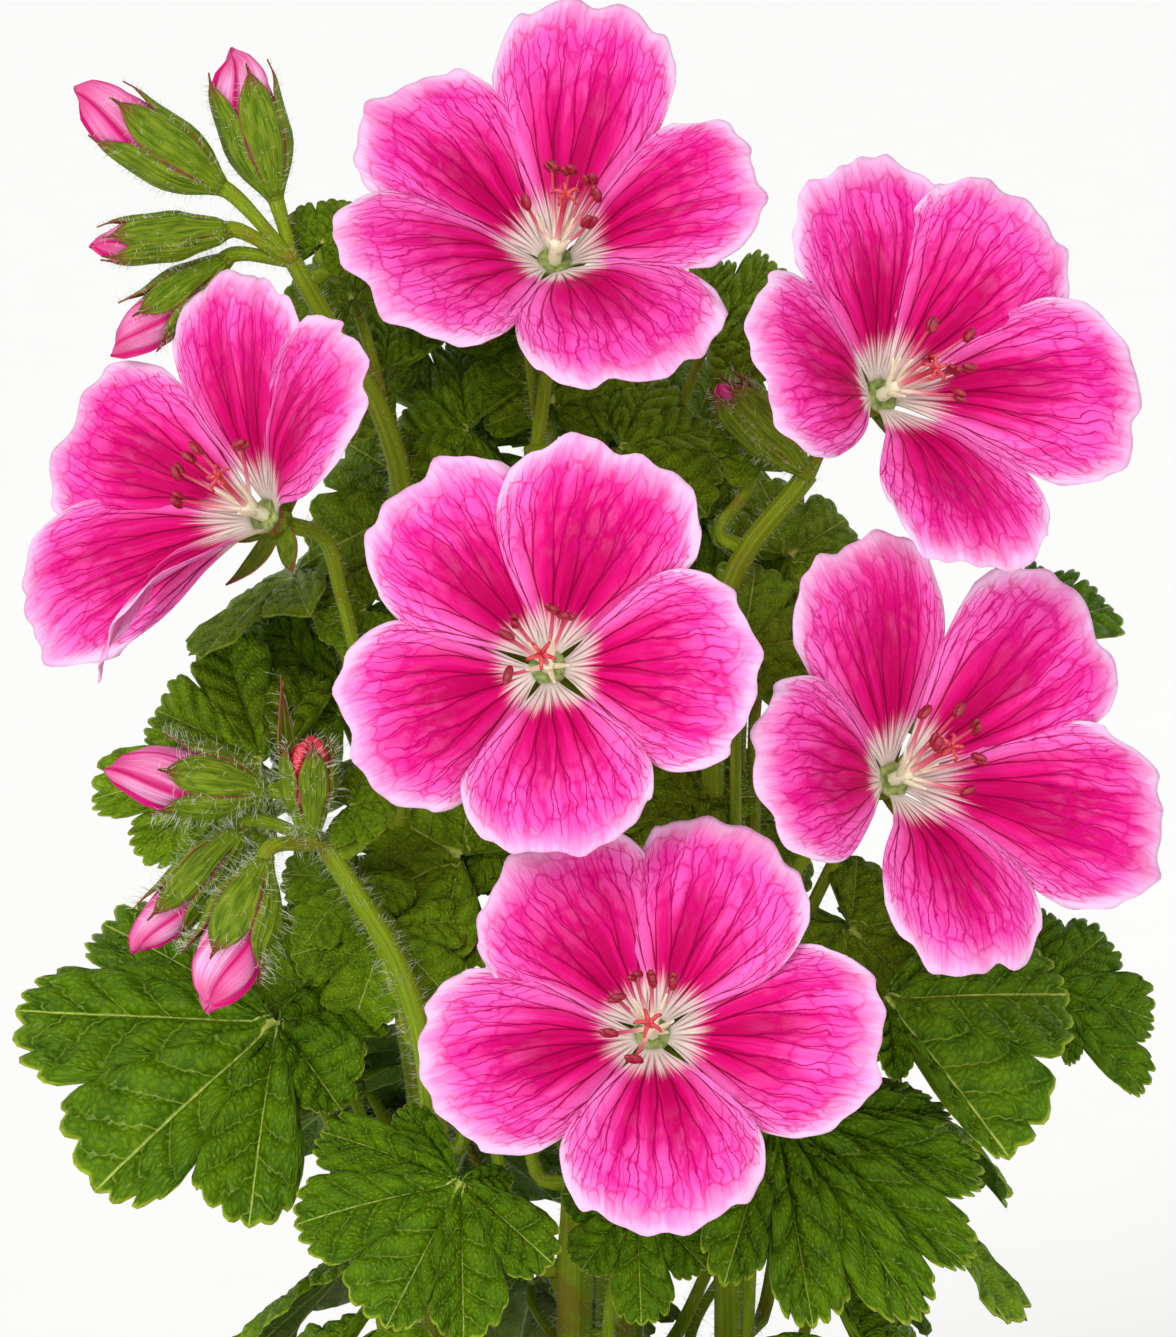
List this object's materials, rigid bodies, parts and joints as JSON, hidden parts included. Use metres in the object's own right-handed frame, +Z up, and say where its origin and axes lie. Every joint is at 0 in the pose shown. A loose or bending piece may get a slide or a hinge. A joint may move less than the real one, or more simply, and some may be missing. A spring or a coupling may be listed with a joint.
{
  "type": "potted geranium",
  "caption": "Bushy potted geranium with broad five-petalled magenta blooms, closed buds and lobed leaves, in a round tapered clay pot that stands on a flat base.",
  "frame": {"origin": "centre of the pot's flat underside", "axes": "+Z up along the pot's axis, -Y towards the front of the plant, where most of its blooms face, +X to the right as seen from the front"},
  "size_m": [0.1631, 0.1489, 0.3166],
  "materials": {
    "pot_clay": "unglazed matt",
    "potting_soil": "loose and matt",
    "shoot_green": "soft sheen with fine hairs",
    "leaf_green": "satin",
    "petal_magenta": "silky",
    "stamen_crimson": "satin",
    "bud_pink": "silky"
  },
  "bodies": {
    "root": {"pot": "pot_clay", "soil": "potting_soil", "shoot_left": "shoot_green", "shoot_upper_left": "shoot_green", "shoot_centre": "shoot_green", "shoot_top": "shoot_green", "shoot_right": "shoot_green", "shoot_back": "shoot_green", "leaf_low_left": "leaf_green", "leaf_front_left": "leaf_green", "leaf_front_middle": "leaf_green", "leaf_front_right": "leaf_green", "leaf_right": "leaf_green", "leaf_far_right": "leaf_green", "leaf_tip_right": "leaf_green", "leaf_mid_left": "leaf_green", "leaf_behind_left": "leaf_green", "leaf_top_left": "leaf_green", "leaf_top_middle": "leaf_green", "leaf_under_top": "leaf_green", "leaf_top_right": "leaf_green", "petals_top": "petal_magenta", "stamens_top": "stamen_crimson", "petals_upper_right": "petal_magenta", "stamens_upper_right": "stamen_crimson", "petals_left": "petal_magenta", "stamens_left": "stamen_crimson", "petals_centre": "petal_magenta", "stamens_centre": "stamen_crimson", "petals_right": "petal_magenta", "stamens_right": "stamen_crimson", "petals_bottom": "petal_magenta", "stamens_bottom": "stamen_crimson", "petals_back": "petal_magenta", "stamens_back": "stamen_crimson", "bud_high_left": "bud_pink", "bud_high_right": "bud_pink", "bud_high_green": "bud_pink", "bud_high_low": "bud_pink", "bud_mid_left": "bud_pink", "bud_mid_upright": "bud_pink", "bud_mid_low": "bud_pink", "bud_mid_front": "bud_pink", "bud_upper_right": "bud_pink"}
  },
  "joints": []
}
